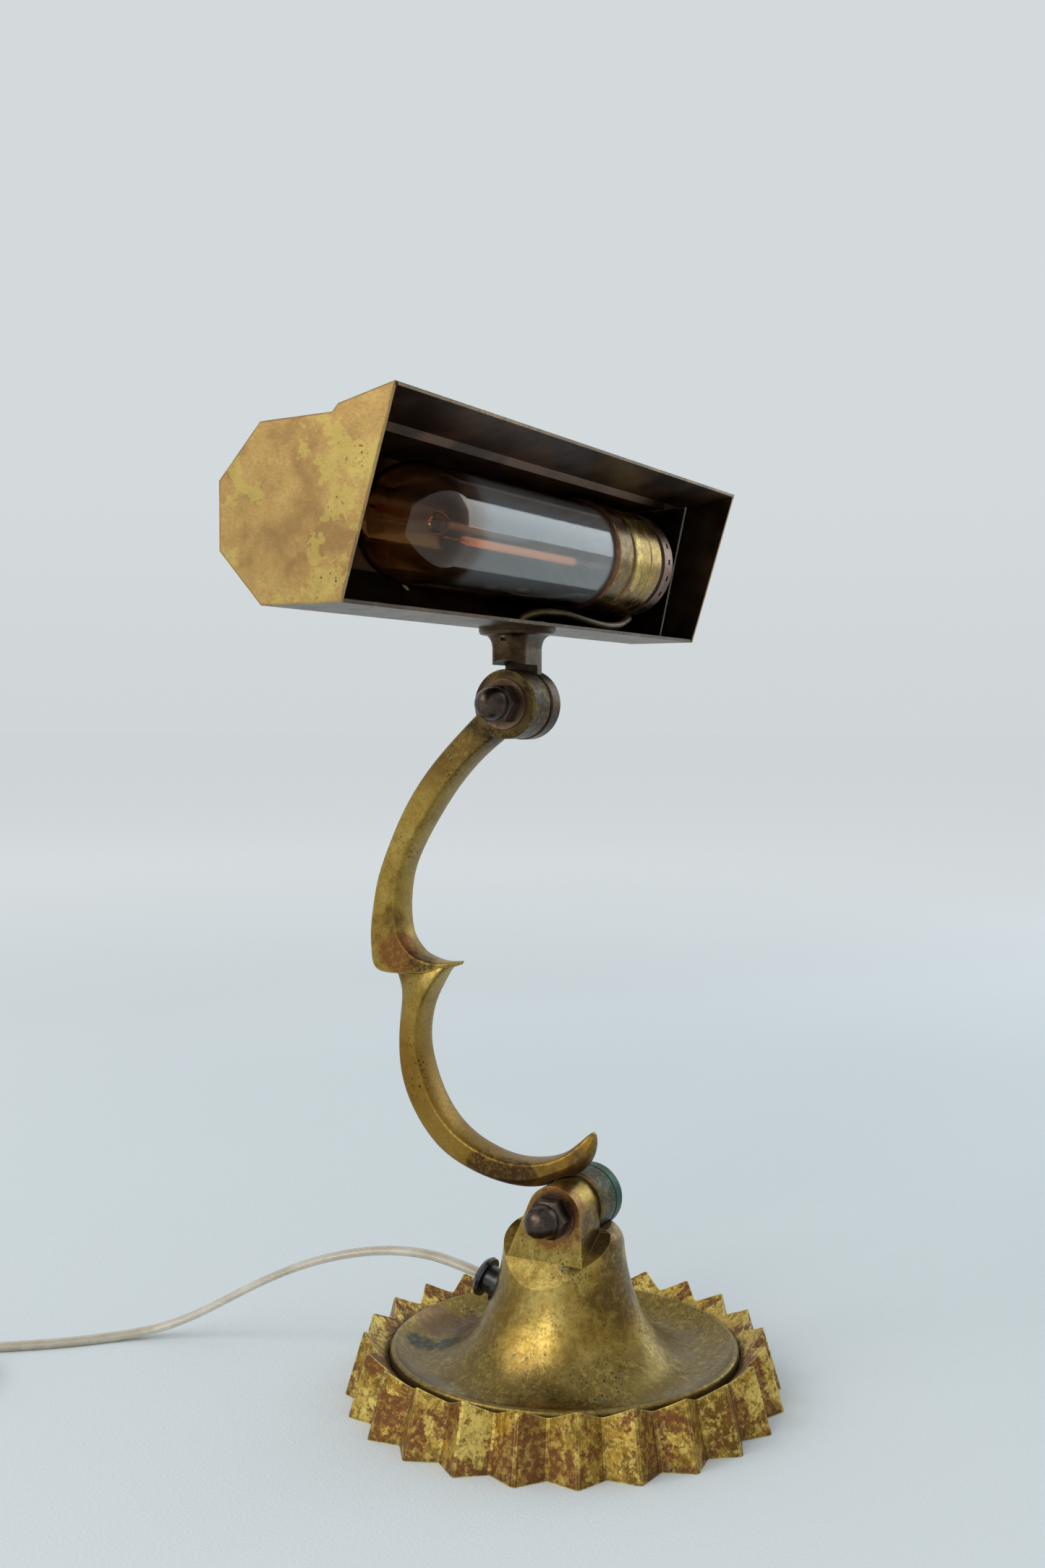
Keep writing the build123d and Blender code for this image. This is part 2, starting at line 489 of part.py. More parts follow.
def lampholder_parts():
    axis = LAMP_AXIS
    inner = SHELL_R - 0.4
    NODES["socket_rim"] = turned_x([
        (RIM_X[0], inner), (RIM_X[0] + 0.3, SHELL_R + 0.6), (RIM_X[0] + 1.4, SHELL_R + 0.9),
        (RIM_X[0] + 2.6, SHELL_R + 0.4), (RIM_X[1], SHELL_R), (RIM_X[1], inner)], axis)
    NODES["socket_shell"] = turned_x([
        (RIM_X[1], inner), (RIM_X[1], SHELL_R), (BEAD_X - 1.8, SHELL_R),
        (BEAD_X - 0.8, SHELL_R + 0.5), (BEAD_X + 0.8, SHELL_R + 0.5), (BEAD_X + 1.8, SHELL_R),
        (77, SHELL_R), (78, SHELL_R + 0.2), (SHELL_END_X, SHELL_R + 0.2),
        (SHELL_END_X, 17.2), (SHELL_END_X - 1, 17.2), (SHELL_END_X - 1, inner)], axis)
    ring = turned_x([
        (RING_X[0], RING_R - 1), (RING_X[0], RING_R), (RING_X[1] - 0.8, RING_R),
        (RING_X[1], RING_R - 0.8), (RING_X[1], 5.2), (RING_X[1] - 1, 5.2),
        (RING_X[1] - 1, RING_R - 1)], axis)
    middle = (RING_X[0] + RING_X[1]) / 2
    window = Box(1.7, 2.2, 6)
    for k in range(RING_SLOTS):
        ring -= Pos(middle, *axis) * Rot(X=360 / RING_SLOTS * k) * Pos(0, 0, RING_R) * window
    NODES["socket_ring"] = ring
    mouth_x, seat_x, back_x = CAP_X[0] + 4, CAP_X[1] + 0.6, RING_X[1] - 1.1
    NODES["lampholder_body"] = turned_x([
        (mouth_x, 14.4), (mouth_x, 17.0), (SHELL_END_X + 0.1, 17.0), (SHELL_END_X + 0.1, 19.8),
        (back_x, 19.8), (back_x, 0), (seat_x, 0), (seat_x, 8), (seat_x - 2, 8),
        (seat_x - 2, 14.4)], axis)
    NODES["lampholder_thread"] = ring_x(14.3, CAP_THREAD_R + 0.15, mouth_x + 0.5, seat_x - 2.1, axis)
    NODES["socket_nipple"] = ring_x(5.0, 2.2, back_x + 0.05, SOCKET_PLATE_X + 5, axis)
    nut = Plane(origin=(SOCKET_PLATE_X + END_SHEET, *axis), z_dir=(1, 0, 0)) * RegularPolygon(8, 6)
    NODES["socket_lock_nut"] = extrude(nut, amount=3) - rod_x(5.02, 90, 120, axis)


def bulb_parts():
    axis = LAMP_AXIS
    dome_x = GLASS_TIP_X + GLASS_R

    def envelope(shrink, end_x):
        radius = GLASS_R - shrink
        tip = Vector(dome_x - radius, 0, 0)
        mid = Vector(dome_x - radius * math.cos(math.pi / 4), 0, radius * math.sin(math.pi / 4))
        side = Vector(dome_x, 0, radius)
        shoulder = Vector(53, 0, radius)
        waist = Vector(64.5, 0, NECK_GLASS_R - shrink)
        lines = [
            ThreePointArc(tip, mid, side), Line(side, shoulder),
            Bezier(shoulder, shoulder + Vector(8, 0, 0), waist - Vector(5, 0, -1), waist),
            Line(waist, (end_x, 0, NECK_GLASS_R - shrink)),
            Line((end_x, 0, NECK_GLASS_R - shrink), (end_x, 0, 0)),
            Line((end_x, 0, 0), tip),
        ]
        return Pos(0, *axis) * revolve(make_face(lines), Axis.X)

    NODES["bulb_glass"] = envelope(0, GLASS_NECK_X + 6) - envelope(GLASS_T, GLASS_NECK_X + 7)
    cap_end = CAP_X[1]
    thread = [(CAP_X[0], 12.7)]
    for k in range(5):
        start = CAP_X[0] + 1.5 + 3.6 * k
        thread += [(start, 12.9), (start + 0.9, CAP_THREAD_R), (start + 1.8, CAP_THREAD_R),
                   (start + 2.7, 12.9)]
    NODES["bulb_cap"] = turned_x(
        thread + [(cap_end - 4.4, 12.8), (cap_end - 2.2, 8.2), (cap_end - 2.6, 7.6),
                  (cap_end - 5, 12.3), (cap_end - 6, 12.6), (CAP_X[0], 12.65)], axis)
    NODES["bulb_cap_insulator"] = turned_x([
        (cap_end - 2.5, 2.6), (cap_end - 2.5, 7.5), (cap_end - 1.2, 6.6), (cap_end - 0.8, 5.0),
        (cap_end - 0.8, 2.6)], axis)
    NODES["bulb_contact"] = turned_x([
        (cap_end - 2.5, 0), (cap_end - 2.5, 2.55), (cap_end - 0.8, 2.55), (cap_end - 0.75, 4.2),
        (cap_end - 0.3, 4.2), (cap_end, 2.5), (cap_end, 0)], axis)
    NODES["bulb_stem"] = turned_x([
        (-54, 0), (-53.4, 2.6), (-51.6, 4.0), (-49.6, 4.2), (-48, 3.0), (-46.4, 1.3), (54, 1.1),
        (58, 3.2), (66, 5.6), (73.6, 9.6), (73.6, 0)], (axis[0], axis[1] + 1.6))
    low = (axis[0], axis[1] - 2.6)
    NODES["bulb_filament"] = turned_x([
        (-33, 0), (-32.6, 1.5), (48.6, 1.5), (49, 0)], low)
    wire_z = low[1]
    NODES["bulb_wires"] = Compound(children=[
        tube([(-33.1, low[0], wire_z), (-42, low[0], wire_z - 0.4), (-48.4, low[0], axis[1] - 2.7)],
             0.45),
        tube([(49.1, low[0], wire_z), (57, low[0], wire_z - 0.6), (64, low[0], axis[1] - 4.2)],
             0.45),
    ])


def head_parts():
    NODES["shade_shell"] = shade_shell()
    NODES["end_plate_left"] = end_plate(-SHADE_HALF_LENGTH)
    NODES["end_plate_right"] = end_plate(SHADE_HALF_LENGTH - END_SHEET)
    NODES["shade_bracket"] = shade_bracket()
    floor_z = SHADE_PROFILE[-1][1] + SHEET
    screws = []
    for place in bracket_screw_places():
        head = Pos(*place, floor_z) * Cylinder(2.8, 1.7, align=MIN_Z)
        head = fillet(head.edges().sort_by(Axis.Z)[-1], 0.9)
        shank = Pos(*place, floor_z - 5) * Cylinder(1.24, 5.2, align=MIN_Z)
        slot = Pos(*place, floor_z + 1.6) * Box(6, 0.7, 1.0)
        screws.append(head + shank - slot)
    NODES["bracket_screws"] = Compound(children=screws)
    NODES["conduit_tube"] = tube(CONDUIT_ROUTE, CONDUIT_R, bore=CONDUIT_BORE_R)
    NODES["head_lead"] = tube(CONDUIT_ROUTE, CONDUIT_BORE_R - 0.05)
    inside = inset(SHADE_PROFILE, SHEET + 0.02)
    front = [(8.9, inside[-1][1]), (-2.6, inside[1][1] - 1.9)]
    plate = prism_x(inside[2:-1] + front, SOCKET_PLATE_X, SOCKET_PLATE_X + END_SHEET)
    NODES["socket_plate"] = plate - rod_x(5.02, 90, 120, LAMP_AXIS)
    lampholder_parts()
    bulb_parts()


base_parts()
cord_parts()
arm_parts()
head_parts()

os.makedirs("parts", exist_ok=True)
for name, shape in NODES.items():
    export_step(shape, os.path.join("parts", name + ".step"))
print(len(NODES), "nodes")
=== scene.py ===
import math

import bpy
from mathutils import Matrix, Vector


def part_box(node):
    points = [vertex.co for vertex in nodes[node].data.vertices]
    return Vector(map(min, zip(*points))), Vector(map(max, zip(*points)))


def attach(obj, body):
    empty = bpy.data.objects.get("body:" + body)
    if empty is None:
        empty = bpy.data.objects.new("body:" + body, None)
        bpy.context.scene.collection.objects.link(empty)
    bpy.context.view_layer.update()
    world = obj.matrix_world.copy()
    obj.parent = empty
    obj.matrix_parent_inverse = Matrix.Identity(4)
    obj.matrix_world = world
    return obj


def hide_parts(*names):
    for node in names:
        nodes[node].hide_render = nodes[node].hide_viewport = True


# Brass desk lamp: a trough shade with a tubular bulb on a scrolled cast arm and a pleated base.
# Metres, in the frame's own axes: +Z up, pivots along X, shade open towards -Y.

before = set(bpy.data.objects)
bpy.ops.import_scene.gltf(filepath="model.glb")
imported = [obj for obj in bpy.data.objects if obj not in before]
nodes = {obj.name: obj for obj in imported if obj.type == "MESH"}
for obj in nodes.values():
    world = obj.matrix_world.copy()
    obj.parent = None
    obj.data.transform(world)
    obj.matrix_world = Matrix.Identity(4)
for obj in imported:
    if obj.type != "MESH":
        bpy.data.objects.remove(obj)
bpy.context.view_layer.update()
MM = 0.001
MIX_AMOUNT, MIX_A, MIX_B, MIX_RESULT = 0, 6, 7, 2  # a colour Mix node's own sockets
HOLLOW_SAMPLES, EDGE_SAMPLES = 6, 4
BLOB_RAGGED = 1.05  # how far a blob's edge wanders, in radii


def middle(node):
    low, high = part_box(node)
    return (low + high) / 2


BULB_AXIS = middle("bulb_glass")
LOWER_PIVOT = middle("lower_nut_washer")
UPPER_PIVOT = middle("upper_nut_washer")
GROMMET = middle("cord_grommet")


def times(colour, factor):
    return tuple(min(1, factor * c) for c in colour)


# ---------------------------------------------------------------- material kit

class Graph:
    """Short names for the nodes that the materials and the room are made of."""

    def __init__(self, tree):
        self.tree = tree

    def add(self, kind, inputs=None, **settings):
        node = self.tree.nodes.new(kind)
        for key, value in settings.items():
            setattr(node, key, value)
        for key, value in (inputs or {}).items():
            self.put(node.inputs[key], value)
        return node

    def put(self, socket, value):
        if isinstance(value, bpy.types.NodeSocket):
            self.tree.links.new(value, socket)
        elif isinstance(value, (tuple, list)) and len(value) == 3 and socket.type == "RGBA":
            socket.default_value = (*value, 1)
        else:
            socket.default_value = value

    def calc(self, operation, a, b=0.0):
        return self.add("ShaderNodeMath", {0: a, 1: b}, operation=operation).outputs[0]

    def vector(self, operation, a, b):
        node = self.add("ShaderNodeVectorMath", {0: a, 1: b}, operation=operation)
        return node.outputs["Value" if operation in ("DOT_PRODUCT", "LENGTH") else "Vector"]

    def span(self, value, low, high, to_low=0.0, to_high=1.0):
        """Maps low..high to to_low..to_high with soft ends, held outside."""
        node = self.add("ShaderNodeMapRange", {
            0: value, 1: low, 2: high, 3: to_low, 4: to_high}, interpolation_type="SMOOTHSTEP")
        return node.outputs[0]

    def mix(self, amount, a, b):
        node = self.add("ShaderNodeMix", {MIX_AMOUNT: amount, MIX_A: a, MIX_B: b}, data_type="RGBA")
        return node.outputs[MIX_RESULT]


class Paint(Graph):
    """One procedural material round a single principled shader.

    Places and sizes are in the shared frame, in metres: an object's own coordinates are the
    frame's, because every object's origin is there."""

    def __init__(self, name):
        self.material = bpy.data.materials.new(name)
        self.material.use_nodes = True
        super().__init__(self.material.node_tree)
        self.tree.nodes.clear()
        self.shader = self.add("ShaderNodeBsdfPrincipled")
        output = self.add("ShaderNodeOutputMaterial")
        self.tree.links.new(self.shader.outputs[0], output.inputs["Surface"])
        coordinates = self.add("ShaderNodeTexCoord")
        self.place = coordinates.outputs["Object"]
        self.normal = coordinates.outputs["Normal"]
        self.uv = coordinates.outputs["UV"]

    def set(self, **sockets):
        for key, value in sockets.items():
            self.put(self.shader.inputs[key.replace("_", " ")], value)
        return self.material

    def noise(self, size, detail=3.0, rough=0.55, stretch=None):
        """Noise whose features are about this size."""
        at = self.vector("MULTIPLY", self.place, stretch) if stretch else self.place
        node = self.add("ShaderNodeTexNoise", {
            "Vector": at, "Scale": 1 / size, "Detail": detail, "Roughness": rough})
        return node.outputs[0]

    def cells(self, size):
        """Distance to the nearest cell's middle, counted in cells of about this size."""
        node = self.add("ShaderNodeTexVoronoi", {"Vector": self.place, "Scale": 1 / size})
        return node.outputs[0]

    def axis(self, name):
        node = self.add("ShaderNodeSeparateXYZ", {0: self.place})
        return node.outputs["XYZ".index(name)]

    def blob(self, centre, radius):
        """One inside a ragged ball, zero outside."""
        offset = self.vector("SUBTRACT", self.place, tuple(centre))
        distance = self.vector("LENGTH", offset, (0, 0, 0))
        edge = self.calc("MULTIPLY", self.calc("SUBTRACT", self.noise(radius * 0.6), 0.5),
                        radius * BLOB_RAGGED)
        return self.span(self.calc("ADD", distance, edge), radius * 0.75, radius * 1.1, 1, 0)

    def hollows(self, reach):
        """One deep in corners, zero in the open; used for grime and painted shade."""
        node = self.add("ShaderNodeAmbientOcclusion", {"Distance": reach}, samples=HOLLOW_SAMPLES)
        return self.span(node.outputs["AO"], 0.35, 0.85, 1, 0)

    def edges(self, radius):
        """One along sharp edges."""
        bevel = self.add("ShaderNodeBevel", {"Radius": radius}, samples=EDGE_SAMPLES)
        true = self.add("ShaderNodeNewGeometry").outputs["Normal"]
        turn = self.vector("DOT_PRODUCT", bevel.outputs[0], true)
        return self.span(turn, 0.80, 0.985, 1, 0)

    def facing_in(self, centre):
        """One on faces that look towards centre."""
        offset = self.vector("SUBTRACT", self.place, tuple(centre))
        return self.span(self.vector("DOT_PRODUCT", self.normal, offset), -MM, MM, 1, 0)

    def bump(self, height, depth):
        node = self.add("ShaderNodeBump", {"Height": height, "Distance": depth, "Strength": 1.0})
        self.tree.links.new(node.outputs[0], self.shader.inputs["Normal"])


# ---------------------------------------------------------------- tarnish

UMBER = (0.030, 0.018, 0.009)
CUPRITE = (0.180, 0.056, 0.015)
VERDIGRIS = (0.085, 0.150, 0.105)
SOOT = (0.038, 0.0200, 0.0105)
DARK_SPOT = (0.060, 0.028, 0.012)

# Sizes of the patterns in the metal, in metres.
DRIFT, MOTTLE, FINE = 0.030, 0.0065, 0.0011
ISLAND, FLECK_CLUSTER, FLECK, SPOT = 0.018, 0.024, 0.0024, 0.0028
RUST_PATCH, RUST_GRAIN = 0.017, 0.0021
PIT, PIT_CLUSTER = 0.0016, 0.018
GREEN_PATCH, GREEN_GRAIN = 0.009, 0.0022
BLOB_GRAIN, CORNER_REACH, ZONE_WANDER, RELIEF = 0.0019, 0.006, 0.012, 0.00012


def aged_brass(name, dark, mid, light, rough=(0.30, 0.50), cuprite=0.0, verdigris=0.0,
               speckle=0.35, worn=0.6, edge_tint=None, grime_and_shade=0.7, blobs=(), inside=None,
               grain=1.0, flecks=0.0, islands=None, zones=(), edge=0.0007):
    """Old brass: drifting tone, mottling, flecks, pits, brown and green patches, rubbed edges.

    rough is the smoothest and roughest. cuprite, verdigris, speckle, worn, grime, grain and
    flecks are amounts, islands is a ragged patch's colour, and edge is how wide a rubbed edge
    is. blobs are (centre, radius, colour, amount), zones are (axis, clear at, full at, colour,
    amount), and inside is the colour of faces turned to the bulb."""
    p = Paint(name)
    drift = p.noise(DRIFT, 2)
    mottle = p.noise(MOTTLE, 5, 0.62)
    fine = p.noise(FINE, 4, 0.6)
    tone = p.calc("ADD", p.calc("MULTIPLY", drift, 0.62), p.calc("MULTIPLY", mottle, 0.38))
    colour = p.mix(p.span(tone, 0.38, 0.51), dark, mid)
    colour = p.mix(p.span(tone, 0.49, 0.61), colour, light)
    for axis, clear, full, tint, amount in zones:
        wander = p.calc("MULTIPLY", p.calc("SUBTRACT", mottle, 0.5), ZONE_WANDER)
        reach = p.calc("ADD", p.axis(axis), wander)
        colour = p.mix(p.span(reach, clear, full, 0, amount), colour, tint)
    colour = p.mix(p.span(fine, 0.45, 0.62, 0, 0.42), colour, dark)
    dull = p.span(fine, 0.3, 0.8, 0.0, 0.25)
    if islands:
        isle = p.span(p.noise(ISLAND, 8, 0.70), 0.538, 0.556, 0, 0.55)
        colour = p.mix(isle, colour, islands)
    if flecks:
        patchy = p.span(p.noise(FLECK_CLUSTER, 3, 0.7), 0.46, 0.57, flecks * flecks, flecks)
        fleck = p.calc("MULTIPLY", p.span(p.noise(FLECK, 6, 0.78), 0.50, 0.57), patchy)
        colour = p.mix(fleck, colour, light)
        spot = p.span(p.noise(SPOT, 6, 0.78, stretch=(1.0, 1.07, 0.93)), 0.52, 0.58)
        colour = p.mix(p.calc("MULTIPLY", spot, patchy), colour, times(dark, 0.6))
    if cuprite:
        rust = 0.60 - 0.11 * cuprite
        patch = p.calc("MULTIPLY", p.span(p.noise(RUST_PATCH, 5, 0.66), rust, rust + 0.035),
                      p.span(p.noise(RUST_GRAIN, 5, 0.7), 0.42, 0.55, 0.45, 0.95))
        colour = p.mix(patch, colour, CUPRITE)
        dull = p.calc("MAXIMUM", dull, p.calc("MULTIPLY", patch, 0.55))
    pits = p.span(p.cells(PIT), 0.18, 0.34, 1, 0)
    cluster = p.span(p.noise(PIT_CLUSTER, 3, 0.7), 0.64 - 0.22 * speckle, 0.72)
    pits = p.calc("MULTIPLY", pits, cluster)
    colour = p.mix(p.calc("MULTIPLY", pits, 0.9), colour, UMBER)
    # Darker in hollows, from ambient occlusion: grime, and painted shade in the corners.
    corners = p.calc("MULTIPLY", p.hollows(CORNER_REACH), grime_and_shade)
    colour = p.mix(corners, colour, UMBER)
    dull = p.calc("MAXIMUM", dull, p.calc("MULTIPLY", corners, 0.8))
    if verdigris:
        green = p.span(p.noise(GREEN_PATCH, 5, 0.7), 0.64 - 0.14 * verdigris, 0.70)
        green = p.calc("MULTIPLY", green, p.span(p.noise(GREEN_GRAIN, 3), 0.35, 0.6))
        colour = p.mix(p.calc("MULTIPLY", green, 0.75), colour, VERDIGRIS)
        dull = p.calc("MAXIMUM", dull, green)
    for centre, radius, tint, amount in blobs:
        place = p.calc("MULTIPLY", p.blob(centre, radius),
                      p.span(p.noise(BLOB_GRAIN, 5, 0.7), 0.40, 0.54, 0.45 * amount, amount))
        colour = p.mix(place, colour, tint)
        dull = p.calc("MAXIMUM", dull, p.calc("MULTIPLY", place, 0.25))
    if worn:
        rubbed = p.calc("MULTIPLY", p.edges(edge), p.span(mottle, 0.35, 0.55, 0.35 * worn, worn))
        bright = edge_tint or times(light, 1.5)
        colour = p.mix(rubbed, colour, bright)
    if inside:
        deep = p.facing_in(BULB_AXIS)
        inner = p.mix(p.span(drift, 0.40, 0.60), inside, times(inside, 3.0))
        colour = p.mix(deep, colour, inner)
        dull = p.calc("MULTIPLY", dull, p.calc("SUBTRACT", 1.0, deep))
    p.bump(p.calc("ADD", p.calc("MULTIPLY", mottle, 0.6), p.calc("MULTIPLY", fine, 0.4)),
           RELIEF * grain)
    return p.set(Base_Color=colour, Metallic=p.span(dull, 0, 1, 1.0, 0.25),
                 Roughness=p.span(p.calc("ADD", p.calc("MULTIPLY", mottle, 0.7),
                                        p.calc("MULTIPLY", dull, 0.8)), 0.2, 0.9, *rough))


def paint(node_names, material):
    for name in node_names.split():
        mesh = nodes[name].data
        mesh.materials.clear()
        mesh.materials.append(material)


# ---------------------------------------------------------------- metals

NUT_FACE_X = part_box("lower_nut_washer")[1].x
ARM_FACE_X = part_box("upper_nut_washer")[1].x
SOCKET_X = middle("socket_shell").x
SHADE_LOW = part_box("shade_shell")[0].z


def around_lower(x, up=0.0, forward=0.0):
    """A place at x, measured up and forward from the lower pivot's axis."""
    return Vector((x, LOWER_PIVOT.y - forward, LOWER_PIVOT.z + up))


paint("base_bell", aged_brass(
    "bell_brass", (0.220, 0.130, 0.026), (0.400, 0.265, 0.058), (0.520, 0.380, 0.110),
    rough=(0.26, 0.50), speckle=1.00, verdigris=0.05, worn=0.60, flecks=0.46,
    zones=[("Z", 0.031, 0.017, (0.170, 0.118, 0.038), 0.85)], blobs=[
        (around_lower(NUT_FACE_X), 0.0135, (0.24, 0.085, 0.030), 0.85),
        (around_lower(-0.006, -0.006, 0.011), 0.0095, (0.10, 0.060, 0.030), 0.85),
        (around_lower(-0.003, -0.013, 0.015), 0.0085, (0.10, 0.065, 0.032), 0.80),
        (around_lower(-0.002, -0.030, 0.012), 0.0150, (0.11, 0.060, 0.020), 0.80),
        (Vector((-0.0165, 0.0070, 0.0400)), 0.0110, (0.12, 0.068, 0.022), 0.35),
        (GROMMET - Vector((0, 0.002, 0)), 0.013, (0.045, 0.045, 0.040), 0.80),
        (Vector((0.0042, 0.0557, 0.014)), 0.0110, (0.15, 0.080, 0.056), 0.70),
        (Vector((0.0130, 0.0450, 0.013)), 0.0090, (0.12, 0.062, 0.045), 0.85),
        (Vector((-0.0150, 0.0510, 0.014)), 0.0060, (0.030, 0.045, 0.034), 0.95),
        (Vector((-0.0105, 0.0430, 0.013)), 0.0060, (0.035, 0.045, 0.032), 0.95),
        (Vector((-0.0420, 0.0300, 0.014)), 0.0070, (0.13, 0.075, 0.040), 0.60),
        (Vector((0.040, -0.030, 0.014)), 0.0070, (0.16, 0.10, 0.07), 0.50)]))
paint("base_ring", aged_brass(
    "ring_brass", (0.190, 0.095, 0.022), (0.520, 0.320, 0.060), (0.860, 0.630, 0.170),
    rough=(0.36, 0.60), speckle=0.70, cuprite=1.00, verdigris=0.08, worn=0.60, grime_and_shade=0.90,
    flecks=0.75, grain=2.5))
paint("arm_casting", aged_brass(
    "arm_brass", (0.200, 0.115, 0.022), (0.350, 0.230, 0.050), (0.440, 0.315, 0.085),
    rough=(0.34, 0.54), speckle=0.60, worn=0.90, flecks=0.30, edge=0.0010,
    zones=[("Z", 0.208, 0.232, (0.120, 0.062, 0.022), 0.75),
           ("Z", 0.148, 0.118, (0.255, 0.130, 0.020), 0.70)], blobs=[
        (Vector((ARM_FACE_X, 0.066, 0.1560)), 0.0090, (0.20, 0.070, 0.022), 0.90),
        (Vector((ARM_FACE_X, 0.057, 0.1545)), 0.0065, (0.080, 0.036, 0.014), 0.85),
        (Vector((ARM_FACE_X, 0.069, 0.1690)), 0.0050, (0.100, 0.048, 0.014), 0.70),
        (UPPER_PIVOT + Vector((0.0095, 0, 0)), 0.0225, (0.034, 0.022, 0.011), 0.95),
        (UPPER_PIVOT, 0.0118, (0.160, 0.115, 0.045), 0.65),
        (Vector((ARM_FACE_X, 0.014, 0.0785)), 0.0062, DARK_SPOT, 0.95),
        (Vector((ARM_FACE_X, 0.022, 0.0780)), 0.0068, DARK_SPOT, 0.95),
        (Vector((ARM_FACE_X, 0.031, 0.0800)), 0.0062, DARK_SPOT, 0.92),
        (Vector((0.002, -0.008, 0.0850)), 0.0095, (0.085, 0.045, 0.022), 0.80),
        (around_lower(0.001), 0.0185, (0.120, 0.068, 0.030), 0.85),
        (around_lower(0.0190), 0.0235, (0.024, 0.050, 0.036), 0.95)]))
paint("shade_bracket", aged_brass(
    "bracket_brass", (0.020, 0.011, 0.006), (0.048, 0.026, 0.013), (0.105, 0.066, 0.034),
    rough=(0.30, 0.50), verdigris=0.4, worn=0.50, flecks=0.25, blobs=[
        (Vector((0.0125, 0.0145, 0.272)), 0.0065, (0.070, 0.110, 0.080), 0.65),
        (Vector((0.0120, 0.0145, 0.262)), 0.0060, (0.070, 0.090, 0.060), 0.50)]))
paint("lower_pivot_bolt", aged_brass(
    "verdigris_brass", (0.018, 0.045, 0.034), (0.030, 0.085, 0.063), (0.080, 0.110, 0.068),
    rough=(0.36, 0.56), verdigris=1.0, worn=0.30, edge_tint=(0.20, 0.18, 0.09)))
paint("lower_acorn_nut upper_acorn_nut", aged_brass(
    "nut_bronze", (0.028, 0.020, 0.016), (0.075, 0.054, 0.043), (0.150, 0.108, 0.082),
    rough=(0.27, 0.40), worn=0.5, speckle=0.2))
paint("upper_pivot_bolt lower_nut_washer upper_nut_washer lower_friction_washer "
      "upper_friction_washer", aged_brass(
    "bolt_brass", (0.060, 0.034, 0.022), (0.170, 0.095, 0.060), (0.270, 0.180, 0.110),
    rough=(0.32, 0.48), worn=0.6))
paint("shade_shell", aged_brass(
    "shade_brass", (0.105, 0.062, 0.024), (0.210, 0.135, 0.052), (0.330, 0.235, 0.100),
    rough=(0.34, 0.56), verdigris=0.10, worn=1.0, grime_and_shade=0.3, flecks=0.25,
    edge=0.0016, edge_tint=(0.030, 0.019, 0.013), inside=SOOT,
    zones=[("Z", SHADE_LOW + 0.014, SHADE_LOW + 0.008, (0.070, 0.045, 0.032), 0.85)]))
paint("end_plate_left end_plate_right", aged_brass(
    "end_brass", (0.330, 0.195, 0.074), (0.455, 0.285, 0.100), (0.520, 0.355, 0.125),
    rough=(0.38, 0.58), speckle=0.30, worn=1.0, grime_and_shade=0.3, flecks=0.25,
    edge=0.0012, edge_tint=(0.095, 0.056, 0.038), islands=(0.540, 0.420, 0.115),
    inside=SOOT))
paint("socket_plate", aged_brass(
    "inner_brass", (0.016, 0.009, 0.006), (0.035, 0.020, 0.012), (0.060, 0.038, 0.022),
    rough=(0.30, 0.50), worn=0.6, edge_tint=(0.40, 0.34, 0.24)))
paint("conduit_tube", aged_brass(
    "conduit_brass", (0.060, 0.045, 0.020), (0.120, 0.090, 0.042), (0.200, 0.155, 0.075),
    rough=(0.32, 0.48), worn=0))
paint("socket_rim", aged_brass(
    "copper_rim", (0.090, 0.036, 0.018), (0.220, 0.095, 0.045), (0.340, 0.170, 0.095),
    rough=(0.30, 0.44), speckle=0.2, worn=0.3))
paint("socket_shell", aged_brass(
    "socket_brass", (0.130, 0.064, 0.012), (0.300, 0.180, 0.030), (0.460, 0.300, 0.055),
    rough=(0.24, 0.40), speckle=0.45, worn=0.3, cuprite=0.2, flecks=0.4,
    zones=[("X", SOCKET_X + 0.002, SOCKET_X, (0.60, 0.45, 0.08), 0.80),
           ("X", SOCKET_X - 0.003, SOCKET_X - 0.005, (0.105, 0.056, 0.020), 0.90)]))
paint("socket_ring", aged_brass(
    "ring_vent_brass", (0.090, 0.045, 0.028), (0.200, 0.110, 0.070), (0.320, 0.205, 0.140),
    rough=(0.30, 0.46), speckle=0.2, worn=0.5))
paint("lampholder_thread bulb_cap", aged_brass(
    "thread_brass", (0.300, 0.210, 0.080), (0.520, 0.390, 0.150), (0.680, 0.540, 0.250),
    rough=(0.20, 0.34), speckle=0.1, worn=0.3))
paint("plug_blades", aged_brass(
    "plug_brass", (0.400, 0.290, 0.110), (0.580, 0.440, 0.180), (0.700, 0.560, 0.270),
    rough=(0.20, 0.34), speckle=0.05, worn=0.4))


def steel(name, tint, rough, scratch):
    """Plated or raw steel with turning marks and a little dirt."""
    p = Paint(name)
    lines = p.noise(0.0009, 3, 0.6, stretch=(1, 1, scratch))
    dirt = p.noise(0.006, 4, 0.6)
    colour = p.mix(p.span(dirt, 0.45, 0.7), tint, times(tint, 0.45))
    colour = p.mix(p.span(lines, 0.45, 0.65, 0, 0.4), colour, times(tint, 1.3))
    p.bump(lines, 0.00004)
    return p.set(Base_Color=colour, Metallic=0.95,
                 Roughness=p.span(dirt, 0.3, 0.7, rough, rough + 0.2))


paint("bottom_plate tie_rod tie_rod_nut", steel("plate_steel", (0.42, 0.42, 0.41), 0.32, 9))
paint("plate_screws bracket_screws", steel("screw_steel", (0.34, 0.31, 0.27), 0.36, 4))
paint("socket_nipple socket_lock_nut", steel("nipple_steel", (0.38, 0.36, 0.32), 0.34, 6))
paint("bulb_contact", steel("contact_solder", (0.50, 0.50, 0.50), 0.38, 2))


# ---------------------------------------------------------------- other materials

